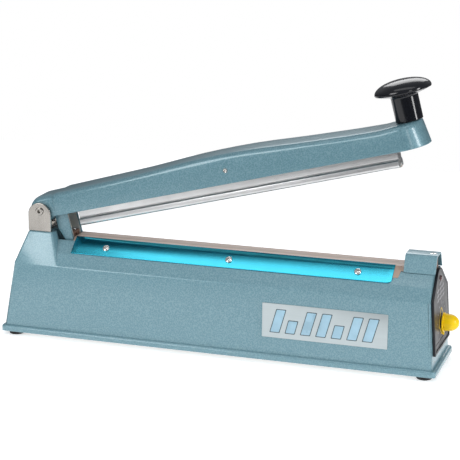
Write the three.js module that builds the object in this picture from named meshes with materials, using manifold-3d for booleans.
// Hand impulse heat sealer for plastic bags: a cast base with a heated sealing bed, and a hinged press arm.
// Millimetres. +X runs along the machine from the hinge to the timer, the front is -Y, +Z is up.
// z = 0 is the surface that the rubber feet stand on, and the arm is held open by its return spring.
import * as THREE from "three";
import { mergeVertices } from "three/addons/utils/BufferGeometryUtils.js";
import Module from "manifold-3d";

const wasm = await Module();
wasm.setup();

// ---------------------------------------------------------------- driving dimensions

const runGap = 0.3; // clearance between pieces that move, or that lie in a turned group
const seatGap = 0.1; // clearance where one fixed piece lies on another

const baseLength = 430; // over the flange
const baseWidth = 82;
const footHeight = 4.2;
const footRadius = 7.3;
const footEndInset = 12;
const footSideInset = 11;
const flangeTop = 10;
const flangeRound = 1.6; // rounded upper edge of the flange
const bodyInset = 3; // flange edge to the foot of the body
const shoulderHeight = 72.8;
const shoulderSideInset = 5;
const leftShoulderInset = 14;
const rightShoulderInset = 7.6;
const wall = 3.4; // casting wall

const slopeFootHalf = 27; // bend between the two slopes, where the clamp strips end
const slopeFootRise = 11.2; // above the shoulder
const ridgeHalf = 14.8;
const ridgeRise = 9.6; // above the slope's bend

const pedestalRise = 30; // above the shoulder
const pedestalTopHalf = 23.5;
const pedestalTopFrom = 24.7; // from the flange's left end
const pedestalTopTo = 49.7;
const pedestalFootTo = 60.3;

const coverThickness = 1.5;
const coverRabbet = 4; // flange edge to the rabbet that takes the bottom cover

const openAngle = THREE.MathUtils.degToRad(14.35);
const hingeInset = 36.6; // from the flange's left end to the hinge line
const pinRadius = 3;
const bushWall = 1.9;
const barrelRadius = 13.2;
const barrelHalf = 19.2;
const earThickness = 2.5;
const earHalfLength = 11.75;
const webThickness = 2.5;
const socketRadius = 1.7;

const armHalf = 23;
const armStart = 15.5; // hinge line to the wide part of the arm
const armNoseInset = 8.4; // level arm's nose to the flange's right end
const armUnderside = 7.3; // below the hinge line
const armWall = 3.6;
const armEdgeRadius = 6;

const cheekThickness = 3;
const cheekInner = 9.4; // half distance between the two cheeks
const cheekFrom = 10;
const cheekTo = 22.4;
const cheekRoom = 2.1; // open cheeks to the insulating bar
const cheekSink = 16.95; // cheeks' lower end below the ridge
const linerThickness = 1.1;
const tongueGap = 0.6; // liners to the tongue of casting left standing between the cheek slots

const barHeight = 3.3; // insulating bar under the element
const barTopHalf = 10.1;
const clothThickness = 0.25;
const clothHalf = 21;
const elementHalf = 1.5;
const elementThickness = 0.25;
const stripThickness = 0.9;
const stripInset = 2.5; // bar's end to the clamp strips
const stripEndInset = 45.6; // flange's right end to the clamp strips
const stripHalfGap = 10.3;
const backStripHalfGap = 12.6; // the back strip stops lower, out of sight behind the bar
const stripScrewOffset = 34.2; // strip's end to its first screw
const screwHead = 3.25;
const screwHeadHeight = 1.9;
const screwShank = 1.5;

const jawInset = 1; // bar's end to the jaw, with the arm level
const jawDrop = 24.4; // hinge line to the silicone's face
const jawBandHalf = 6.2;
const jawFootHalf = 8.2;
const jawPinDrop = 5.3; // above the hinge line
const jawPinRadius = 2;
const pressGap = 0.65; // left over the cloth when the empty jaws are closed
const siliconeHalf = 2.9;

const terminalCoverLength = 29.4;
const terminalCoverEndInset = 7.7;
const terminalCoverRise = 15.4; // above the ridge
const terminalCoverTopHalf = 6.6;
const sheetThickness = 1.5;

const panelThickness = 2.6;
const panelRim = 2.8;
const panelBottom = 22;
const panelTopRise = 22.7; // above the shoulder
const timerHeight = 45;
const timerLength = 15;
const pointerClearance = 0.9; // from the panel to the knob, so that its pointer clears the lean
const timerRadius = 8.15;
const shaftRadius = 3;
const lampRadius = 2.6;
const lampRise = 13.6; // above the shoulder

const stemRadius = 12.4;
const stemTop = 39.3; // above the hinge line
const capRadius = 25.8;
const capTop = 53.5;
const handleInset = 14.8; // nose of the arm to the handle's axis
const noseTop = 15.6; // above the hinge line
const studRadius = 4;
const studHeadRadius = 6.3;
const studHeadHeight = 3;
const studHeadSink = 3.6; // depth of the counterbore in the arm's underside

const plateLength = 118.5;
const plateHeight = 32.5;
const plateThickness = 0.8;
const plateEndInset = 45; // flange's right end to the nameplate
const plateBottom = 26;

const grommetBore = 3.2;
const grommetEndInset = 40;
const grommetHeight = 24;

// ---------------------------------------------------------------- places worked out from them

const left = -baseLength / 2;
const right = baseLength / 2;
const halfWidth = baseWidth / 2;
const bodyHalf = halfWidth - bodyInset;
const shoulderHalf = halfWidth - shoulderSideInset;
const slopeFoot = shoulderHeight + slopeFootRise;
const ridgeTop = slopeFoot + ridgeRise;
const pedestalTop = shoulderHeight + pedestalRise;
const barTop = ridgeTop + barHeight;
const clothLift = seatGap;
const clothCrown = barTop + seatGap + elementThickness + seatGap + clothThickness;
const hingeX = left + hingeInset;
const hingeZ = clothCrown + pressGap + jawDrop;
const hingeRise = hingeZ - ridgeTop;
// from the hinge line, clear of the open arm's cheeks
const barStart = cheekTo * Math.cos(openAngle) + hingeRise * Math.sin(openAngle) + cheekRoom;
const jawStart = barStart + jawInset;
const stripFrom = hingeX + barStart + stripInset;
const cheekDrop = hingeRise + cheekSink;
const coverBottom = footHeight + seatGap;
const flangeBottom = footHeight - 0.2;
const rabbetTop = coverBottom + coverThickness + seatGap;
const stripTo = right - stripEndInset;
const coverTo = right - terminalCoverEndInset;
const coverFrom = coverTo - terminalCoverLength;
const armReach = right - armNoseInset - hingeX;
const jawEnd = coverFrom - 2.3 - hingeX;
const jawPinX = (jawStart + jawEnd) / 2 + 3;
const handleX = armReach - handleInset;
const cheekOuter = cheekInner + cheekThickness;
const tongueHalf = cheekInner - runGap - linerThickness - tongueGap;
const bushRadius = pinRadius + 0.1 + bushWall;
const slopeAngle = Math.atan2(ridgeRise, slopeFootHalf - ridgeHalf);

const mix = THREE.MathUtils.mapLinear;
const leftEnd = (z) => mix(z, flangeTop, shoulderHeight, left + bodyInset, left + leftShoulderInset);
const rightFootX = right - bodyInset - 0.5;
const rightEnd = (z) => mix(z, flangeTop, shoulderHeight, rightFootX, right - rightShoulderInset);
const frontFace = (z) => mix(z, flangeTop, shoulderHeight, bodyHalf, shoulderHalf);

/** Height of the surface under the cloth and the strips, at a distance y from the middle. */
function skin(y) {
  const away = Math.abs(y);
  if (away <= barTopHalf) return barTop;
  if (away <= ridgeHalf) return mix(away, barTopHalf, ridgeHalf, barTop, ridgeTop);
  return mix(away, ridgeHalf, slopeFootHalf, ridgeTop, slopeFoot);
}

// ---------------------------------------------------------------- shape helpers

/** Closed geometry as a manifold solid. */
function solidOf(geometry) {
  const bare = geometry.index ? geometry.toNonIndexed() : geometry.clone();
  bare.deleteAttribute("normal");
  bare.deleteAttribute("uv");
  const merged = mergeVertices(bare, 1e-4);
  const vertProperties = merged.attributes.position.array;
  const triVerts = new Uint32Array(merged.index.array);
  return new wasm.Manifold(new wasm.Mesh({ numProp: 3, vertProperties, triVerts }));
}

/** Joins the added pieces to the first one, then cuts the removed ones out of it. */
function carve(first, added, removed = []) {
  let solid = solidOf(first);
  for (const piece of added) solid = solid.add(solidOf(piece));
  for (const piece of removed) solid = solid.subtract(solidOf(piece));
  return geometryOf(solid);
}

function geometryOf(solid) {
  const mesh = solid.getMesh();
  const geometry = new THREE.BufferGeometry();
  geometry.setAttribute("position", new THREE.BufferAttribute(mesh.vertProperties, 3));
  geometry.setIndex(new THREE.BufferAttribute(mesh.triVerts, 1));
  geometry.computeVertexNormals();
  return geometry;
}

/** Rectangular block between two values on each axis. */
function block([x0, x1], [y0, y1], [z0, z1]) {
  const geometry = new THREE.BoxGeometry(x1 - x0, y1 - y0, z1 - z0);
  return geometry.translate((x0 + x1) / 2, (y0 + y1) / 2, (z0 + z1) / 2);
}

// For each axis: where a shape's own x, y and z (its drawing plane and its depth) point.
const facing = {
  x: new THREE.Matrix4().makeBasis(
    new THREE.Vector3(0, 1, 0), new THREE.Vector3(0, 0, 1), new THREE.Vector3(1, 0, 0)),
  y: new THREE.Matrix4().makeBasis(
    new THREE.Vector3(0, 0, 1), new THREE.Vector3(1, 0, 0), new THREE.Vector3(0, 1, 0)),
  z: new THREE.Matrix4(),
};

/** Outline drawn across an axis (y,z for x; z,x for y; x,y for z) and carried along it. */
function prism(axis, outline, from, to) {
  const shape = new THREE.Shape(outline.map(([a, b]) => new THREE.Vector2(a, b)));
  const geometry = new THREE.ExtrudeGeometry(shape, { depth: to - from, bevelEnabled: false });
  return geometry.translate(0, 0, from).applyMatrix4(facing[axis]);
}

/** Prism across y from an outline in x and z. */
const sideCut = (outline, from, to) => prism("y", outline.map(([x, z]) => [z, x]), from, to);

/** Solid of revolution about an axis: the profile is [radius, distance along the axis]. */
function turned(axis, profile, [cx, cy, cz] = [0, 0, 0], sides = 32) {
  const points = profile.map(([radius, along]) => new THREE.Vector2(radius, along));
  const geometry = new THREE.LatheGeometry(points, sides).rotateX(Math.PI / 2);
  return geometry.applyMatrix4(facing[axis]).translate(cx, cy, cz);
}

/** Round bar between two distances along an axis. */
const rod = (axis, radius, from, to, centre, sides = 24) =>
  turned(axis, [[0, from], [radius, from], [radius, to], [0, to]], centre, sides);

/** Round sleeve between two distances along an axis. */
const sleeve = (axis, outer, inner, from, to, centre, sides = 24) =>
  turned(axis, [[inner, from], [outer, from], [outer, to], [inner, to], [inner, from]], centre, sides);

/** Closed skin over convex rings of points that all have the same count. */
function loft(rings) {
  const count = rings[0].length;
  const positions = rings.flat(2);
  const faces = [];
  for (let ring = 0; ring + 1 < rings.length; ring++) {
    for (let i = 0; i < count; i++) {
      const a = ring * count + i;
      const b = ring * count + ((i + 1) % count);
      faces.push(a, b, b + count, a, b + count, a + count);
    }
  }
  const last = (rings.length - 1) * count;
  for (let i = 1; i + 1 < count; i++) faces.push(0, i + 1, i, last, last + i, last + i + 1);
  const geometry = new THREE.BufferGeometry();
  geometry.setAttribute("position", new THREE.Float32BufferAttribute(positions, 3));
  geometry.setIndex(faces);
  if (signedVolume(geometry) < 0) {
    for (let i = 0; i < faces.length; i += 3) [faces[i + 1], faces[i + 2]] = [faces[i + 2], faces[i + 1]];
    geometry.setIndex(faces);
  }
  return geometry;
}

function signedVolume(geometry) {
  const { position } = geometry.attributes;
  const corner = (i) => new THREE.Vector3().fromBufferAttribute(position, geometry.index.array[i]);
  let volume = 0;
  for (let i = 0; i < geometry.index.count; i += 3) {
    volume += corner(i).dot(corner(i + 1).cross(corner(i + 2))) / 6;
  }
  return volume;
}

/** Points of an arc about a centre, first and last angle in degrees. */
function arc([cx, cy], radius, from, to, steps) {
  return Array.from({ length: steps + 1 }, (_, i) => {
    const angle = THREE.MathUtils.degToRad(from + ((to - from) * i) / steps);
    return [cx + radius * Math.cos(angle), cy + radius * Math.sin(angle)];
  });
}

/** Rounded rectangle at one height, as a ring for a loft. */
function roundedRing([x0, x1], half, z, radius = 2.5, steps = 3) {
  const corners = [
    [x1 - radius, half - radius, 0],
    [x0 + radius, half - radius, 90],
    [x0 + radius, radius - half, 180],
    [x1 - radius, radius - half, 270],
  ];
  return corners.flatMap(([cx, cy, turn]) =>
    arc([cx, cy], radius, turn, turn + 90, steps).map(([x, y]) => [x, y, z]));
}

/** Round wire of a given radius along a curve. */
function wire(curve, radius, steps, sides = 8) {
  const section = new THREE.Shape(
    arc([0, 0], radius, 0, 360 - 360 / sides, sides - 1).map(([a, b]) => new THREE.Vector2(a, b)));
  return new THREE.ExtrudeGeometry(section, { steps, extrudePath: curve, bevelEnabled: false });
}

/** Smooth curve through points. */
const throughPoints = (points) =>
  new THREE.CatmullRomCurve3(points.map((point) => new THREE.Vector3(...point)), false, "centripetal");

/** Both mirror images of a solid that is drawn on the -Y side. */
const bothSides = (make) => [make(-1), make(1)];
const span = (side, inner, outer) => (side < 0 ? [-outer, -inner] : [inner, outer]);

// ---------------------------------------------------------------- materials

const finish = (color, roughness, metalness) =>
  new THREE.MeshStandardMaterial({ color, roughness, metalness });
const paint = () => finish(0x7ea3b1, 0.42, 0.25);
const nickel = () => finish(0xb4b0a8, 0.3, 1);
const steel = () => finish(0xc4c6c8, 0.28, 1);
const aluminium = () => finish(0xd6d8da, 0.32, 1);
const anodised = () => finish(0x2aa5c4, 0.25, 0.85);
const rubber = () => finish(0x17181a, 0.85, 0);
const black = () => finish(0x101215, 0.22, 0);
const bakelite = () => finish(0x5a3a28, 0.5, 0);

const machine = new THREE.Group();
machine.name = "impulse_heat_sealer";
const base = new THREE.Group();
const arm = new THREE.Group();
machine.add(base, arm);
arm.position.set(hingeX, 0, hingeZ);
arm.rotation.y = -openAngle;

/** Adds one named piece to a group. */
function piece(group, name, geometry, material) {
  const mesh = new THREE.Mesh(geometry, material);
  mesh.name = name;
  group.add(mesh);
  return mesh;
}

// ---------------------------------------------------------------- base casting

const timerAxis = [0, 0, timerHeight];
const lampZ = shoulderHeight + lampRise;
const feet = [[-1, -1], [1, -1], [1, 1], [-1, 1]].map(([along, across]) => [
  along * (baseLength / 2 - footEndInset),
  across * (halfWidth - footSideInset),
]);
const bracketScrews = [-13, 13].map((y) => [hingeX - 3.4, y]);
const coverScrews = [left + 60, right - 60].map((x) => [x, 0]);
const stripScrews = [
  stripFrom + stripScrewOffset,
  (stripFrom + stripTo) / 2 + 0.9,
  stripTo - stripScrewOffset + 1.7,
];
const stripScrewY = (slopeFootHalf + ridgeHalf) / 2 - 1.6;
const leadHoles = [[hingeX + 23.4, 0], [coverFrom + 17, 5]];
const leadRadius = 1.3;
const slotFrom = hingeX + 7.4;
const slotTo = hingeX + barStart + 1.6;

/** Group that stands on one of the two slopes, its own +Z square to the surface. */
function onSlope(side, x, lift) {
  const seat = new THREE.Group();
  seat.position.set(x, side * stripScrewY, skin(stripScrewY));
  seat.rotation.x = -side * slopeAngle;
  seat.updateMatrix();
  seat.position.add(new THREE.Vector3(0, 0, lift).applyEuler(seat.rotation));
  return seat;
}

/** Drill that goes square through the slope at one strip screw. */
function slopeDrill(side, x, radius) {
  const seat = onSlope(side, x, 0);
  seat.updateMatrix();
  return rod("z", radius, -7, 5, [0, 0, 0], 16).applyMatrix4(seat.matrix);
}

const slopeDrills = (radius) =>
  bothSides((side) => stripScrews.map((x) => slopeDrill(side, x, radius))).flat();

/** House-shaped cross-section of the upper body, wide at the shoulder and flat on the ridge. */
function upperSection(inset) {
  const drop = inset * 1.25;
  return [
    [shoulderHalf - inset - 4, shoulderHeight - 6],
    [shoulderHalf - inset, shoulderHeight - drop * 0.4],
    [slopeFootHalf - inset * 0.6, slopeFoot - drop * 0.5],
    [ridgeHalf - inset * 0.35, ridgeTop - inset],
  ];
}

function upperBody(from, endInset, inset) {
  const half = upperSection(inset);
  const outline = [...half, ...half.map(([y, z]) => [-y, z]).reverse()];
  return loft([
    outline.map(([y, z]) => [from, y, z]),
    outline.map(([y, z]) => [rightEnd(z) - endInset, y, z]),
  ]);
}

function baseCasting() {
  const flange = loft([
    roundedRing([left, right], halfWidth, flangeBottom, 4),
    roundedRing([left, right], halfWidth, flangeTop - flangeRound, 4),
    roundedRing([left + 0.5, right - 0.5], halfWidth - 0.5, flangeTop - 0.5, 4),
    roundedRing([left + flangeRound, right - flangeRound], halfWidth - flangeRound, flangeTop, 4),
  ]);
  const trunkRing = (z, side, inset) =>
    roundedRing([leftEnd(z) + side, rightEnd(z) - side], frontFace(z) - side, z - inset, 2.5);
  const trunk = loft([trunkRing(flangeTop - 2, 0, 0), trunkRing(shoulderHeight, 0, 0)]);
  const pedestalRing = (z, grow, inset) => {
    const from = mix(z, shoulderHeight, pedestalTop, leftEnd(shoulderHeight), left + pedestalTopFrom);
    const to = mix(z, shoulderHeight, pedestalTop, left + pedestalFootTo, left + pedestalTopTo);
    const half = mix(z, shoulderHeight, pedestalTop, shoulderHalf, pedestalTopHalf);
    return roundedRing([from + inset, to - inset], half - inset, z + grow, 2);
  };
  const pedestal = loft([
    pedestalRing(shoulderHeight, -5, 1.5),
    pedestalRing(shoulderHeight, 0, 0),
    pedestalRing(pedestalTop, 0, 0),
  ]);
  const bosses = feet.map(([x, y]) => rod("z", 5.5, rabbetTop, 22, [x, y, 0], 20));
  const coverBosses = coverScrews.map(([x]) =>
    block([x - 5, x + 5], [-bodyHalf + 1, bodyHalf - 1], [rabbetTop, 12]));

  const rabbet = loft([
    roundedRing([left + coverRabbet, right - coverRabbet], halfWidth - coverRabbet, flangeBottom - 1, 3),
    roundedRing([left + coverRabbet, right - coverRabbet], halfWidth - coverRabbet, rabbetTop, 3),
  ]);
  const trunkHollow = loft([
    trunkRing(flangeTop, wall, flangeTop - rabbetTop + 1),
    trunkRing(flangeTop, wall, 0),
    trunkRing(shoulderHeight - wall, wall, 0),
  ]);
  const pedestalHollow = loft([
    pedestalRing(shoulderHeight, -8, wall + 2),
    pedestalRing(pedestalTop - wall, 0, wall),
  ]);
  const tailSlots = bothSides((side) =>
    block(
      [slotFrom, slotTo],
      span(side, tongueHalf, cheekOuter + 1.1),
      [shoulderHeight - 4, pedestalTop + 5],
    ));
  const panelWindow = block([right - 25, right + 5], [-27, 27], [27, shoulderHeight - 5]);
  const hull = carve(flange, [trunk, pedestal, upperBody(left + pedestalTopTo - 5, 0, 0)], [
    rabbet, trunkHollow, pedestalHollow, upperBody(left + pedestalFootTo - 4, wall, wall),
  ]);
  return carve(hull, [...bosses, ...coverBosses], [
    ...tailSlots,
    panelWindow,
    rod("x", lampRadius + 1.8, right - 25, right + 5, [0, 0, lampZ], 16),
    ...feet.map(([x, y]) => rod("z", 2.3, 0, 16, [x, y, 0], 16)),
    ...coverScrews.map(([x, y]) => rod("z", screwShank + 0.1, 0, 11, [x, y, 0], 16)),
    ...bracketScrews.map(([x, y]) =>
      rod("z", screwShank + 0.3, pedestalTop - 12, pedestalTop + 5, [x, y, 0], 16)),
    ...leadHoles.map(([x, y]) => rod("z", leadRadius + 0.6, ridgeTop - 8, ridgeTop + 3, [x, y, 0], 16)),
    ...slopeDrills(screwShank + 0.2),
    rod("z", screwShank + 0.2, ridgeTop - 8, ridgeTop + 3, [hingeX + 23.4, 4.6, 0], 16),
    rod("y", grommetBore + 2, 25, halfWidth + 5, [right - grommetEndInset, 0, grommetHeight], 20),
  ]);
}
piece(base, "base_casting", baseCasting(), paint());

// ---------------------------------------------------------------- bottom cover and feet

const coverEdge = coverRabbet + 0.5;
const coverPlate = loft([
  roundedRing([left + coverEdge, right - coverEdge], halfWidth - coverEdge, coverBottom, 3),
  roundedRing([left + coverEdge, right - coverEdge], halfWidth - coverEdge, coverBottom + coverThickness, 3),
]);
piece(base, "bottom_cover", carve(coverPlate, [], [
  ...feet.map(([x, y]) => rod("z", 2.3, 0, 10, [x, y, 0], 16)),
  ...coverScrews.map(([x, y]) => rod("z", screwShank + 0.3, 0, 10, [x, y, 0], 16)),
]), steel());

feet.forEach(([x, y], i) => {
  const profile = [
    [0, 1], [4, 1], [4.6, 0], [footRadius - 0.6, 0], [footRadius, 0.6], [footRadius - 0.4, footHeight],
    [1.9, footHeight], [1.9, 12], [0, 13],
  ];
  piece(base, `foot_${i + 1}`, turned("z", profile, [x, y, 0], 20), rubber());
});

/** Pan-head screw along +Z, the underside of its head at z = 0, with a crossed recess. */
function panScrew(headRadius, headHeight, shank, length) {
  const crown = arc([0, 0], 1, 0, 90, 3).map(([a, b]) => [headRadius * a, headHeight * (0.35 + 0.65 * b)]);
  const profile = [
    [0, -length], [shank, -length + 0.5], [shank, 0], [headRadius, 0],
    ...crown.slice(0, -1),
    [0, headHeight],
  ];
  const slotLength = headRadius * 0.55;
  const slotWidth = headRadius * 0.16;
  const depth = headHeight * 0.45;
  return carve(turned("z", profile, [0, 0, 0], 14), [], [
    block([-slotLength, slotLength], [-slotWidth, slotWidth], [depth, headHeight + 1]),
    block([-slotWidth, slotWidth], [-slotLength, slotLength], [depth, headHeight + 1]),
  ]);
}

coverScrews.forEach(([x, y], i) => {
  const screw = panScrew(screwHead, screwHeadHeight, screwShank - 0.1, 6)
    .rotateX(Math.PI)
    .translate(x, y, coverBottom - seatGap);
  piece(base, `cover_screw_${i + 1}`, screw, steel());
});

// ---------------------------------------------------------------- hinge

const webBottom = pedestalTop + seatGap;
const earInner = barrelHalf + 0.8;
const earOuter = earInner + earThickness;
const earCentreX = hingeX - 0.35;
const earTopZ = hingeZ - 3.7;

function hingeBracket() {
  const outline = [
    [earCentreX - earHalfLength, webBottom],
    [earCentreX + earHalfLength, webBottom],
    ...arc([earCentreX, earTopZ], earHalfLength, 0, 180, 24),
  ];
  const ears = bothSides((side) => sideCut(outline, ...span(side, earInner, earOuter)));
  const web = block(
    [earCentreX - earHalfLength, hingeX + 6.9],
    [-earOuter + 0.1, earOuter - 0.1],
    [webBottom, webBottom + webThickness],
  );
  return carve(web, ears, [
    rod("y", pinRadius + 0.15, -30, 30, [hingeX, 0, hingeZ], 24),
    ...bracketScrews.map(([x, y]) =>
      rod("z", screwShank + 0.3, pedestalTop - 5, pedestalTop + 8, [x, y, 0], 16)),
  ]);
}
piece(base, "hinge_bracket", hingeBracket(), nickel());

bracketScrews.forEach(([x, y], i) => {
  const screw = panScrew(screwHead, 2, screwShank, 9).translate(x, y, webBottom + webThickness + seatGap);
  piece(base, `bracket_screw_${i + 1}`, screw, steel());
});

/** Regular hexagon about the hinge line, for a socket or a nut. */
const hexagon = (radius) => arc([hingeX, hingeZ], radius, 0, 300, 5);
const pinShaft = turned("y", [
  [0, -earOuter - 1.8], [3.4, -earOuter - 1.8], [3.9, -earOuter - 1.4], [3.9, -earOuter - seatGap],
  [pinRadius, -earOuter - seatGap], [pinRadius, earOuter + 3.4], [0, earOuter + 3.4],
], [hingeX, 0, hingeZ], 24);
const pinSocket = sideCut(hexagon(socketRadius), -earOuter - 3, -earOuter + 1);
piece(base, "pivot_pin", carve(pinShaft, [], [pinSocket]), steel());
piece(base, "pivot_nut", carve(sideCut(hexagon(5), earOuter + seatGap, earOuter + 3), [], [
  rod("y", pinRadius + 0.1, 15, 40, [hingeX, 0, hingeZ], 24),
]), steel());

const springRadius = 6.4;
const springWire = 0.8;
const springHalf = 6.2;

/** Torsion spring round the hinge pin: one leg on the bracket's web, one under the arm. */
class TorsionSpring extends THREE.Curve {
  getPoint(t, target = new THREE.Vector3()) {
    const legShare = 0.12;
    const turns = 4.25;
    const startAngle = Math.PI;
    const webLeg = new THREE.Vector3(hingeX - springRadius, -springHalf, webBottom + webThickness + 1.2);
    const coil = (share) => {
      const angle = startAngle + share * turns * 2 * Math.PI;
      const y = THREE.MathUtils.lerp(-springHalf, springHalf, share);
      return new THREE.Vector3(hingeX, y, hingeZ)
        .add(new THREE.Vector3(springRadius * Math.cos(angle), 0, springRadius * Math.sin(angle)));
    };
    if (t < legShare) return target.copy(webLeg).lerp(coil(0), t / legShare);
    if (t > 1 - legShare) {
      const along = new THREE.Vector3(Math.cos(openAngle), 0, Math.sin(openAngle));
      return target.copy(coil(1)).addScaledVector(along, (20 * (t - 1 + legShare)) / legShare);
    }
    return target.copy(coil((t - legShare) / (1 - 2 * legShare)));
  }
}
piece(base, "return_spring", wire(new TorsionSpring(), springWire, 84, 6), steel());

// ---------------------------------------------------------------- sealing bed

const barFrom = hingeX + barStart;
const barTo = coverFrom + 1;
const barFootHalf = ridgeHalf - 0.5;
piece(base, "sealing_bar", prism("x", [
  [-barFootHalf, ridgeTop + seatGap], [barFootHalf, ridgeTop + seatGap],
  [barTopHalf, barTop], [-barTopHalf, barTop],
], barFrom, barTo), bakelite());

const elementZ = barTop + seatGap;
const elementFrom = hingeX + 20.4;
const sliderFrom = coverFrom + 11.4;
const sliderTo = sliderFrom + 6.7;
piece(base, "heating_element", block(
  [elementFrom, sliderFrom + 3], [-elementHalf, elementHalf], [elementZ, elementZ + elementThickness],
), steel());

/** Thin sheet bent over the bed between two half-widths, with a crown over the element. */
function clothSection(half) {
  const crownHalf = elementHalf + 0.5;
  const crownFoot = crownHalf + 1.4;
  const levels = [0, crownHalf, crownFoot, barTopHalf, ridgeHalf, half].filter((y) => y <= half);
  const height = (y) => (y <= crownHalf ? elementZ + elementThickness : skin(y)) + clothLift;
  const sheet = (lift) => levels.map((y) => [y, height(y) + lift]);
  const upper = sheet(clothThickness);
  const lower = sheet(0);
  const mirrored = (points) => points.slice(1).map(([y, z]) => [-y, z]);
  return [...mirrored(lower).reverse(), ...lower, ...upper.reverse(), ...mirrored(sheet(clothThickness))];
}
const clothFrom = barFrom;
const clothStep = coverFrom - 3;
const clothTo = coverFrom + 4.5;
piece(base, "ptfe_cloth", carve(prism("x", clothSection(clothHalf), clothFrom, clothStep), [
  prism("x", clothSection(ridgeHalf), clothStep - 1, clothTo),
], slopeDrills(screwShank + 0.3)), finish(0xa08a7c, 0.45, 0));

function clampStrip(side) {
  const lift = clothLift + clothThickness + seatGap;
  const levels = [side < 0 ? stripHalfGap : backStripHalfGap, ridgeHalf, slopeFootHalf];
  const lower = levels.map((y) => [side * y, skin(y) + lift]);
  const upper = levels.map((y) => [side * y, skin(y) + lift + stripThickness]).reverse();
  const sheet = prism("x", [...lower, ...upper], stripFrom, stripTo);
  const low = slopeFoot - 1;
  const corner = 4;
  const mask = sideCut([
    ...arc([stripFrom + 1, low + corner], 1, 180, 270, 2).map(([x, z]) => [x, z - corner + 1]),
    ...arc([stripTo - corner, low + corner], corner, 270, 360, 5),
    [stripTo, barTop + 5],
    [stripFrom, barTop + 5],
  ], ...span(side, stripHalfGap - 2, slopeFootHalf + 2));
  let solid = solidOf(sheet).intersect(solidOf(mask));
  for (const x of stripScrews) solid = solid.subtract(solidOf(slopeDrill(side, x, screwShank + 0.3)));
  return geometryOf(solid);
}

[["front", -1], ["back", 1]].forEach(([name, side]) => {
  piece(base, `clamp_strip_${name}`, clampStrip(side), anodised());
  stripScrews.forEach((x, i) => {
    const stack = clothLift + clothThickness + seatGap + stripThickness;
    const seat = onSlope(side, x, stack * Math.cos(slopeAngle) + runGap);
    base.add(seat);
    piece(seat, `strip_screw_${name}_${i + 1}`, panScrew(screwHead, screwHeadHeight, screwShank, 7), steel());
  });
});

// ---------------------------------------------------------------- terminals at the two ends of the element

const leftBlock = [hingeX + 18.4, hingeX + 28];
const terminalBase = ridgeTop + seatGap;
piece(base, "left_terminal_block", carve(
  block(leftBlock, [-tongueHalf + 0.2, tongueHalf - 0.2], [terminalBase, barTop + 3.6]), [], [
    block(
      [elementFrom - 1, leftBlock[1] + 2],
      [-elementHalf - 0.5, elementHalf + 0.5],
      [elementZ - 0.4, elementZ + 1.2],
    ),
    rod("z", screwShank + 0.2, ridgeTop, barTop + 8, [hingeX + 23.4, 4.6, 0], 16),
  ]), bakelite());
const leftScrew = panScrew(2.4, 1.6, screwShank, 8).translate(hingeX + 23.4, 4.6, barTop + 3.6 + seatGap);
piece(base, "left_terminal_screw", leftScrew, steel());

const rightBlock = [coverFrom + 2.5, coverTo - 2.2];
const stopWall = [coverFrom + 5, coverFrom + 7.8];
const coverPost = [coverTo - 9, rightBlock[1]];
const coverTop = ridgeTop + terminalCoverRise;
const springLine = barTop + 4.6;
const coverScrewX = (coverPost[0] + coverPost[1]) / 2;
piece(base, "right_terminal_block", carve(
  block([stopWall[0], rightBlock[1]], [-7.5, 7.5], [terminalBase, ridgeTop + 2.6]), [
    block(stopWall, [-6, 6], [terminalBase + 1, springLine + 3.4]),
    block(coverPost, [-5, 5], [terminalBase + 1, coverTop - sheetThickness - seatGap]),
  ], [
    block(
      [stopWall[0] - 1, stopWall[1] + 1],
      [-elementHalf - 0.6, elementHalf + 0.6],
      [elementZ - 0.4, elementZ + 1],
    ),
    rod("z", screwShank + 0.1, ridgeTop + 4, coverTop + 2, [coverScrewX, 0, 0], 16),
  ]), bakelite());

const sliderBottom = elementZ + elementThickness + runGap;
piece(base, "tension_slider", carve(
  block([sliderFrom, sliderTo], [-4.5, 4.5], [sliderBottom, springLine + 2.8]), [], [
    rod("x", 1.2, sliderFrom - 1, sliderFrom + 3, [0, 0, springLine], 12),
  ]), finish(0xb8923c, 0.35, 1));

const tensionTurns = 3;
const tensionRadius = 2.1;
const tensionWire = 0.3;

/** Compression spring between the stop wall and the slider. */
class TensionSpring extends THREE.Curve {
  getPoint(t, target = new THREE.Vector3()) {
    const angle = t * tensionTurns * 2 * Math.PI;
    const from = stopWall[1] + tensionWire + seatGap;
    const to = sliderFrom - tensionWire - seatGap;
    const x = THREE.MathUtils.lerp(from, to, t);
    return target.set(x, tensionRadius * Math.cos(angle), springLine + tensionRadius * Math.sin(angle));
  }
}
piece(base, "tension_spring", wire(new TensionSpring(), tensionWire, 48, 6), steel());

const flapHalf = 16.2;
const flapLift = 0.8; // foot of a flap over the cloth and the slope
const bendRadius = 3.2;

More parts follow.
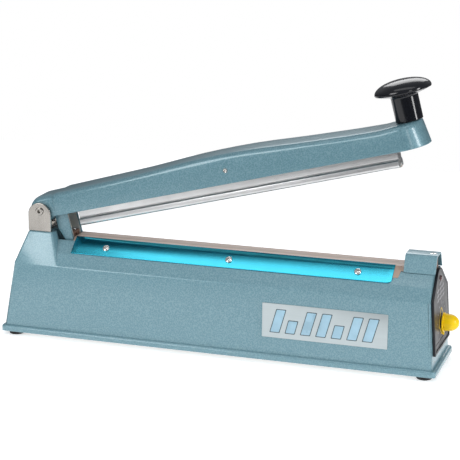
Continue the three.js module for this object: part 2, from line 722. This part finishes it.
function terminalCover() {
  const flapInner = flapHalf - sheetThickness * 1.13;
  const bend = (radius) => arc([terminalCoverTopHalf, coverTop - bendRadius], radius, 24, 90, 5);
  const outer = [[flapHalf, skin(flapHalf) + flapLift], ...bend(bendRadius)];
  const inner = [[flapInner, skin(flapInner) + flapLift], ...bend(bendRadius - sheetThickness)];
  const mirrored = (points) => points.map(([y, z]) => [-y, z]).reverse();
  const section = [...outer, ...mirrored(outer), ...mirrored(inner).reverse(), ...[...inner].reverse()];
  return carve(prism("x", section, coverFrom, coverTo), [], [
    turned("z", [[0, -9], [screwShank + 0.3, -9], [screwShank + 0.3, -1.4], [3.3, 0.1], [3.3, 3], [0, 3]],
      [coverScrewX, 0, coverTop], 20),
  ]);
}
piece(base, "terminal_cover", terminalCover(), paint());
piece(base, "terminal_cover_screw", carve(turned("z", [
  [0, -9], [screwShank - 0.1, -8.5], [screwShank - 0.1, -1.6], [2.9, -0.1], [2.4, 0.15], [0, 0.3],
], [coverScrewX, 0, coverTop], 20), [], [
  block([coverScrewX - 1.5, coverScrewX + 1.5], [-0.35, 0.35], [coverTop - 0.7, coverTop + 1]),
  block([coverScrewX - 0.35, coverScrewX + 0.35], [-1.5, 1.5], [coverTop - 0.7, coverTop + 1]),
]), steel());

// ---------------------------------------------------------------- end panel, timer and lamp

const panelTop = shoulderHeight + panelTopRise;
const panelHalf = shoulderHalf - 3.2;

/** House-shaped outline in y and z, drawn in from the panel's edge by a rim and cut off at a height. */
function houseOutline(rim, bottom) {
  const half = [
    [panelHalf - rim, bottom],
    [panelHalf - 0.4 - rim, shoulderHeight + 0.7 - rim * 0.35],
    [8 - rim * 0.6, panelTop - 1.5 - rim],
    [3, panelTop - rim],
  ];
  return [...half, ...half.map(([y, z]) => [-y, z]).reverse()];
}

/** Slab that lies along the leaning end of the casting between two distances from it. */
const endSlab = (outline, from, to) => loft([
  outline.map(([y, z]) => [rightEnd(z) + from, y, z]),
  outline.map(([y, z]) => [rightEnd(z) + to, y, z]),
]);
const labelDepth = 0.7;
const labelBottom = panelBottom + 9;
const footerBand = [panelBottom + 2.4, panelBottom + 6.6];
const footerHalf = panelHalf - panelRim;
const footerOutline = [
  [-footerHalf, footerBand[0]], [footerHalf, footerBand[0]],
  [footerHalf, footerBand[1]], [-footerHalf, footerBand[1]],
];
const panelBody = endSlab(houseOutline(0, panelBottom), seatGap + 0.05, panelThickness);
piece(base, "control_panel", carve(panelBody, [], [
  endSlab(houseOutline(panelRim, labelBottom), panelThickness - labelDepth, panelThickness + 3),
  endSlab(footerOutline, panelThickness - labelDepth, panelThickness + 3),
  rod("x", shaftRadius + 1.2, right - 20, right + 5, timerAxis, 24),
  rod("x", lampRadius + 0.2, right - 20, right + 5, [0, 0, lampZ], 20),
]), black());
const labelOutline = houseOutline(panelRim + 0.3, labelBottom + 0.3);
const labelBody = endSlab(labelOutline, panelThickness - labelDepth + seatGap, panelThickness - 0.25);
piece(base, "panel_label", carve(labelBody, [], [
  rod("x", shaftRadius + 1.2, right - 20, right + 5, timerAxis, 24),
  rod("x", lampRadius + 0.2, right - 20, right + 5, [0, 0, lampZ], 20),
]), finish(0x6e6c73, 0.5, 0.1));

const lampFace = rightEnd(lampZ) + panelThickness;
piece(base, "indicator_lamp", turned("x", [
  [0, -6], [lampRadius, -6], [lampRadius, 0.3], [lampRadius * 0.7, 1.1], [0, 1.5],
], [lampFace, 0, lampZ], 20), finish(0x2a1012, 0.2, 0));

const panelFace = rightEnd(timerHeight) + panelThickness;
const potRadius = 8.5;
const potFront = rightEnd(timerHeight + potRadius);
piece(base, "timer_potentiometer", carve(turned("x", [
  [0, -9], [potRadius, -9], [potRadius, 0], [0, 0],
], [potFront, 0, timerHeight], 28), [], [
  rod("x", shaftRadius + 0.15, -6, 1, [potFront, 0, timerHeight], 24),
]), finish(0x9a9a92, 0.4, 0.8));

const timerFoot = panelFace + pointerClearance;
const shaftFrom = potFront - 5;
const shaftTo = timerFoot + timerLength * 0.6;
piece(base, "timer_shaft", rod("x", shaftRadius, shaftFrom, shaftTo, timerAxis, 24), steel());

function timerKnob() {
  const domeFrom = 0.4; // share of the length
  const dome = arc([0, 0], 1, 0, 90, 7).map(([a, b]) =>
    [timerRadius * 0.96 * a, timerLength * (domeFrom + (1 - domeFrom) * b)]);
  const profile = [
    [0, 0], [timerRadius + 0.6, 0], [timerRadius + 0.6, 1.4], [timerRadius, 1.8],
    ...dome.slice(0, -1),
    [0, timerLength],
  ];
  const pointer = prism("x", [
    [-4.2, timerHeight - 6], [-0.5, timerHeight - 12.2], [0.5, timerHeight - 12.2], [4.2, timerHeight - 6],
  ], timerFoot, timerFoot + 1.4);
  return carve(turned("x", profile, [timerFoot, 0, timerHeight], 32), [pointer], [
    rod("x", shaftRadius + runGap, timerFoot - 1, shaftTo + runGap, timerAxis, 24),
  ]);
}
piece(base, "timer_knob", timerKnob(), finish(0xe9bb16, 0.35, 0));

// ---------------------------------------------------------------- nameplate and cable grommet

const plateTo = right - plateEndInset;
const plateFrom = plateTo - plateLength;
const plateSection = (from, to) => [
  [-frontFace(plateBottom) - from, plateBottom],
  [-frontFace(plateBottom + plateHeight) - from, plateBottom + plateHeight],
  [-frontFace(plateBottom + plateHeight) - to, plateBottom + plateHeight],
  [-frontFace(plateBottom) - to, plateBottom],
].reverse();
const plateBody = prism("x", plateSection(seatGap, seatGap + plateThickness), plateFrom, plateTo);
piece(base, "nameplate", plateBody, aluminium());

const grommetX = right - grommetEndInset;
const wallOuter = frontFace(grommetHeight);
piece(base, "cable_grommet", turned("y", [
  [grommetBore, wallOuter - wall - 2.6], [grommetBore + 4, wallOuter - wall - 2.6],
  [grommetBore + 4, wallOuter - wall - 0.5], [grommetBore + 1.7, wallOuter - wall - 0.5],
  [grommetBore + 1.7, wallOuter + 0.4], [grommetBore + 4, wallOuter + 0.4],
  [grommetBore + 3.2, wallOuter + 2.6], [grommetBore, wallOuter + 3], [grommetBore, wallOuter - wall - 2.6],
], [grommetX, 0, grommetHeight], 24), rubber());

// ---------------------------------------------------------------- electrics inside the base

const coreX = right - 135;
const coreHalfLength = 33;
const coreHalfDepth = 16;
const coreLow = coverBottom + coverThickness + 0.4;
const coreHigh = coreLow + 55;
const legHalf = 11;
const windowHeight = 33;
const windowLow = coreLow + (55 - windowHeight) / 2;
const windows = bothSides((side) => block(
  span(side, legHalf, 2 * legHalf).map((x) => coreX + x),
  [-coreHalfDepth - 2, coreHalfDepth + 2],
  [windowLow, windowLow + windowHeight],
));
piece(base, "transformer_core", carve(block(
  [coreX - coreHalfLength, coreX + coreHalfLength], [-coreHalfDepth, coreHalfDepth], [coreLow, coreHigh],
), [], windows), finish(0x5b5f63, 0.5, 0.8));
piece(base, "transformer_coil", carve(
  block([coreX - 2 * legHalf + 0.6, coreX + 2 * legHalf - 0.6], [-coreHalfDepth - 9, coreHalfDepth + 9],
    [windowLow + 0.4, windowLow + windowHeight - 0.4]), [], [
    block([coreX - legHalf - 0.3, coreX + legHalf + 0.3], [-coreHalfDepth - 0.3, coreHalfDepth + 0.3],
      [windowLow - 2, windowLow + windowHeight + 2]),
  ]), finish(0x8a5a26, 0.55, 0.2));

const boardFrom = right - 78;
const boardY = -bodyHalf + wall + 9;
const boardBody = block([boardFrom, boardFrom + 46], [boardY, boardY + 1.6], [18, 58]);
piece(base, "circuit_board", boardBody, finish(0x2c6a3a, 0.6, 0));
piece(base, "timer_relay", block(
  [boardFrom + 12, boardFrom + 31], [boardY + 1.7, boardY + 17], [26, 42],
), finish(0x23324a, 0.4, 0));

/** Insulated lead from the transformer up to one end of the element. */
function lead(points) {
  return wire(throughPoints(points), leadRadius, 26, 6);
}
const leadEnd = ridgeTop - 0.3;
const coilTop = windowLow + windowHeight - 0.4;
const [[leadLeftX, leadLeftY], [leadRightX, leadRightY]] = leadHoles;
piece(base, "lead_left", lead([
  [coreX - 14, 20, coilTop + 1.6], [coreX - 18, 20, coilTop + 8], [coreX - 50, 18, shoulderHeight - 2],
  [hingeX + 80, 10, shoulderHeight],
  [leadLeftX + 10, 2, shoulderHeight + 3],
  [leadLeftX, leadLeftY, shoulderHeight + 10],
  [leadLeftX, leadLeftY, leadEnd],
]), finish(0xa03028, 0.6, 0));
piece(base, "lead_right", lead([
  [coreX + 14, 20, coilTop + 1.6], [coreX + 18, 20, coilTop + 8], [coreX + 50, 18, shoulderHeight],
  [leadRightX - 4, leadRightY + 1, shoulderHeight + 6], [leadRightX, leadRightY, shoulderHeight + 14],
  [leadRightX, leadRightY, leadEnd],
]), finish(0xa03028, 0.6, 0));

// ---------------------------------------------------------------- switch worked by the arm's front cheek

const leverX = hingeX + 60.4;
const leverZ = ridgeTop - 22.05;
const leverAngle = THREE.MathUtils.degToRad(15.7);
const leverLength = 46.5;
const leverThickness = 0.8;
const fingerY = -(cheekInner + cheekOuter) / 2;
const switchY = [fingerY - 5.1, fingerY + 4.9];
const buttonX = leverX - 8;
const leafAt = (along, lift) => [
  leverX - along * Math.cos(leverAngle) - lift * Math.sin(-leverAngle),
  leverZ + along * Math.sin(leverAngle) + lift * Math.cos(leverAngle),
];
const switchTop = leverZ - 1;
const switchBody = block([leverX - 26, leverX + 2], switchY, [switchTop - 16, switchTop]);
piece(base, "microswitch", carve(switchBody, bothSides((side) =>
  block([leverX - 3.5, leverX + 3.5], side < 0 ? [switchY[0], fingerY - 2.4] : [fingerY + 2.2, switchY[1]],
    [switchTop - 2, leverZ + 3.5])), [
  rod("y", 1.3, fingerY - 8, fingerY + 8, [leverX, 0, leverZ], 16),
  block([leverX - 3, leverX + 3], [fingerY - 2.4, fingerY + 2.4], [leverZ - 2.6, leverZ + 5]),
  rod("z", 1.5, switchTop - 8, switchTop + 2, [buttonX, fingerY, 0], 16),
]), black());
piece(base, "switch_bracket", carve(
  block(
    [leverX - 22, leverX - 4],
    [switchY[1] + 0.2, switchY[1] + 1.4],
    [switchTop - 16, ridgeTop - wall - 0.6],
  ), [
    block([leverX - 22, leverX - 4], [switchY[1] + 0.2, 6], [ridgeTop - wall - 1.8, ridgeTop - wall - 0.6]),
  ]), nickel());
const buttonTop = leafAt(8 / Math.cos(leverAngle), -leverThickness / 2)[1] - 0.35;
const buttonBody = rod("z", 1.2, switchTop - 5, buttonTop, [buttonX, fingerY, 0], 16);
piece(base, "switch_button", buttonBody, finish(0xb02020, 0.5, 0));
piece(base, "switch_lever", carve(sideCut([
  leafAt(0, -leverThickness / 2), leafAt(0, leverThickness / 2),
  leafAt(leverLength, leverThickness / 2), leafAt(leverLength, -leverThickness / 2),
], fingerY - 2, fingerY + 2), [
  rod("y", 1.7, fingerY - 2, fingerY + 2, [leverX, 0, leverZ], 16),
  rod("y", 1, fingerY - 4.8, fingerY + 4.6, [leverX, 0, leverZ], 16),
]), steel());

// ---------------------------------------------------------------- press arm, about the hinge line

// Crown of the arm: share of its length, height above the hinge line.
const crownLine = [
  [0.052, 14.2], [0.156, 15.4], [0.286, 16.9], [0.429, 20],
  [0.564, 20.2], [0.701, 17.3], [0.818, 15.2], [0.896, 14.4],
].map(([share, top]) => [share * armReach, top]);
const crown = new THREE.SplineCurve(crownLine.map(([x, top]) => new THREE.Vector2(x, top)))
  .getPoints(21)
  .map((point) => [point.x, point.y]);

/** Cross-section of the arm: draft on the sides and rounded upper edges. */
function armRing(x, half, top, lean) {
  const corner = Math.min(armEdgeRadius, half * 0.5);
  const draft = 0.6;
  const edge = arc([half - draft - corner, top - corner], corner, 8, 90, 7);
  const side = [[half, -armUnderside], ...edge];
  const ring = [...side, ...side.map(([y, z]) => [-y, z]).reverse()];
  return ring.map(([y, z]) => [x - (lean * (z + armUnderside)) / (top + armUnderside), y, z]);
}

function armCasting() {
  const noseRadius = armHalf;
  const noseCentre = armReach - noseRadius;
  const nose = arc([0, 0], 1, 0, 82, 11).map(([, share]) => {
    const angle = Math.asin(share);
    return armRing(noseCentre + noseRadius * share, armHalf * Math.cos(angle) + 0.5, noseTop, 3.6 * share);
  });
  const rails = crown.map(([x, top]) => armRing(x, armHalf, top, 0));
  const shell = loft([armRing(armStart, armHalf - 1.2, crown[0][1] - 0.8, 0), ...rails, ...nose]);

  const barrelEdge = arc([9, 8.8], 1, 0, 90, 6)
    .reverse()
    .map(([y, z]) => [9 + (y - 9) * (barrelHalf - 9), 8.8 + (z - 8.8) * (barrelRadius - 8.8)]);
  const barrel = turned("y", [
    [0, -barrelHalf],
    ...barrelEdge.map(([y, r]) => [r, -y]).reverse(),
    ...barrelEdge.map(([y, r]) => [r, y]),
    [0, barrelHalf],
  ], [0, 0, 0], 56);
  const neckRing = (x, rise) => {
    const half = [[barrelHalf, -armUnderside], ...barrelEdge.map(([y, z]) => [y, z + rise]).reverse()];
    return [...half, ...half.map(([y, z]) => [-y, z]).reverse()].map(([y, z]) => [x, y, z]);
  };
  const neck = loft([neckRing(0, 0), neckRing(armStart + 3, 0.5)]);
  const cheek = [
    [cheekFrom, -armUnderside + 2], [cheekTo, -armUnderside + 2], [cheekTo, 6 - cheekDrop],
    [cheekTo - 0.9, -cheekDrop], [cheekTo - 5.4, -cheekDrop],
    [cheekTo - 6.4, 6 - cheekDrop], [cheekFrom, 24 - cheekDrop],
  ];
  const cheeks = bothSides((side) => sideCut(cheek, ...span(side, cheekInner, cheekOuter)));

  const ceiling = crown.slice(1).map(([x, top]) => [x, top - armWall]);
  const hollowEnd = jawEnd + 2;
  const hollow = sideCut([
    [26, -armUnderside - 2], [hollowEnd, -armUnderside - 2], [hollowEnd, 10.4],
    ...ceiling.filter(([x]) => x < hollowEnd - 4).reverse(), [26, 10.4],
  ], -armHalf + armWall, armHalf - armWall);
  const pocketHalf = springHalf + 1.8;
  const springPocket = carve(rod("y", springRadius + 2.4, -pocketHalf, pocketHalf, [0, 0, 0], 28), [
    block([-springRadius - 3.5, 3], [-springHalf - 1.8, springHalf + 1.8], [-barrelRadius - 3, 0]),
    block([0, 27], [springHalf - 2, springHalf + 1.8], [-armUnderside - 3, springWire + 1]),
  ]);
  return carve(shell, [neck, barrel, ...cheeks], [
    hollow,
    springPocket,
    rod("y", bushRadius + runGap, -barrelHalf - 2, barrelHalf + 2, [0, 0, 0], 28),
    rod("y", jawPinRadius + runGap, -armHalf - 2, armHalf + 2, [jawPinX, 0, jawPinDrop], 16),
    rod("z", studRadius + runGap, -armUnderside - 2, noseTop + 2, [handleX, 0, 0], 20),
    rod("z", studHeadRadius + runGap, -armUnderside - 2, -armUnderside + studHeadSink, [handleX, 0, 0], 20),
  ]);
}
piece(arm, "arm_casting", armCasting(), paint());

[["front", -1], ["back", 1]].forEach(([name, side]) => {
  const bushSpan = span(side, springHalf + 2.2, barrelHalf + 0.4);
  const bush = sleeve("y", bushRadius, pinRadius + 0.15, ...bushSpan, [0, 0, 0], 28);
  piece(arm, `hinge_bush_${name}`, bush, finish(0xa8803c, 0.4, 1));
  const liner = sideCut([
    [cheekFrom + 1.5, -armUnderside - 1], [cheekTo - 0.6, -armUnderside - 1], [cheekTo - 0.6, 9 - cheekDrop],
    [cheekTo - 5.9, 9 - cheekDrop], [cheekFrom + 1.5, 24 - cheekDrop],
  ], ...span(side, cheekInner - runGap - linerThickness, cheekInner - runGap));
  const ribs = [0, 1, 2, 3, 4].map((i) => {
    const z = -armUnderside - 5 - i * 6;
    const linerInner = cheekInner - runGap - linerThickness;
    return block([cheekFrom, cheekTo + 2], span(side, linerInner - 1, linerInner + 0.35), [z - 1, z]);
  });
  piece(arm, `cheek_liner_${name}`, carve(liner, [], ribs), black());
});

function handleKnob() {
  const foot = noseTop + runGap;
  const rim = stemTop + 3.9;
  const dome = arc([0, 0], 1, 8, 90, 10).map(([a, b]) => [(capRadius - 0.2) * a, rim + (capTop - rim) * b]);
  const profile = [
    [0, foot], [stemRadius - 0.5, foot], [stemRadius, foot + 0.6],
    [stemRadius, stemTop - 0.8], [stemRadius + 1, stemTop],
    [capRadius * 0.72, stemTop + 1.4], [capRadius - 0.9, stemTop + 2.9], [capRadius, rim],
    ...dome.slice(0, -1),
    [0, capTop],
  ];
  return carve(turned("z", profile, [handleX, 0, 0], 36), [], [
    rod("z", studRadius + runGap, foot - 2, 31.3, [handleX, 0, 0], 20),
  ]);
}
piece(arm, "handle_knob", handleKnob(), black());
const studSeat = -armUnderside + studHeadSink - runGap;
piece(arm, "handle_stud", turned("z", [
  [0, studSeat - studHeadHeight], [studHeadRadius, studSeat - studHeadHeight], [studHeadRadius, studSeat],
  [studRadius, studSeat], [studRadius, 30], [0, 31],
], [handleX, 0, 0], 20), steel());

// ---------------------------------------------------------------- jaw, in the arm's frame

const jawPinHalf = armHalf - 0.9;
piece(arm, "jaw_pin", rod("y", jawPinRadius, -jawPinHalf, jawPinHalf, [jawPinX, 0, jawPinDrop], 16), steel());

const jawFoot = -jawDrop + 0.8;
const bandSplit = -armUnderside - 10.2;

function jawExtrusion() {
  const half = [
    [3.4, jawFoot], [6.9, jawFoot], [jawFootHalf - 0.3, jawFoot + 1.2], [jawFootHalf, jawFoot + 2.6],
    [jawFootHalf - 0.5, bandSplit - 1.5], [jawBandHalf + 0.5, bandSplit - 0.3],
    [jawBandHalf - 0.6, bandSplit],
    [jawBandHalf - 0.6, bandSplit + 0.5], [jawBandHalf, bandSplit + 0.9], [jawBandHalf, -armUnderside + 0.8],
  ];
  const groove = [
    [siliconeHalf + 0.9, jawFoot + 2.9],
    [siliconeHalf + 0.9, jawFoot + 1.2],
    [siliconeHalf + 0.2, jawFoot + 1.2],
  ];
  const mirrored = (points) => points.map(([y, z]) => [-y, z]);
  const sideLine = [[siliconeHalf + 0.2, jawFoot], ...half.slice(1)];
  const section = [
    ...sideLine, ...mirrored(sideLine).reverse(),
    ...mirrored(groove).reverse(), ...groove,
  ];
  const hanger = block([jawPinX - 13, jawPinX + 13], [-3.5, 3.5], [-armUnderside - 2, jawPinDrop + 5]);
  return carve(prism("x", section, jawStart, jawEnd), [hanger], [
    rod("y", jawPinRadius + runGap, -10, 10, [jawPinX, 0, jawPinDrop], 16),
  ]);
}
piece(arm, "jaw_extrusion", jawExtrusion(), aluminium());
piece(arm, "silicone_strip", prism("x", [
  [-siliconeHalf, -jawDrop], [siliconeHalf, -jawDrop],
  [siliconeHalf, jawFoot + 1.5], [siliconeHalf + 0.6, jawFoot + 1.5],
  [siliconeHalf + 0.6, jawFoot + 2.6], [-siliconeHalf - 0.6, jawFoot + 2.6],
  [-siliconeHalf - 0.6, jawFoot + 1.5],
  [-siliconeHalf, jawFoot + 1.5],
], jawStart, jawEnd), finish(0xd9d2c6, 0.7, 0));

// The origin stands under the middle of everything, from the flange's left end to the timer knob's tip.
machine.position.x = -(left + timerFoot + timerLength) / 2;

export default machine;
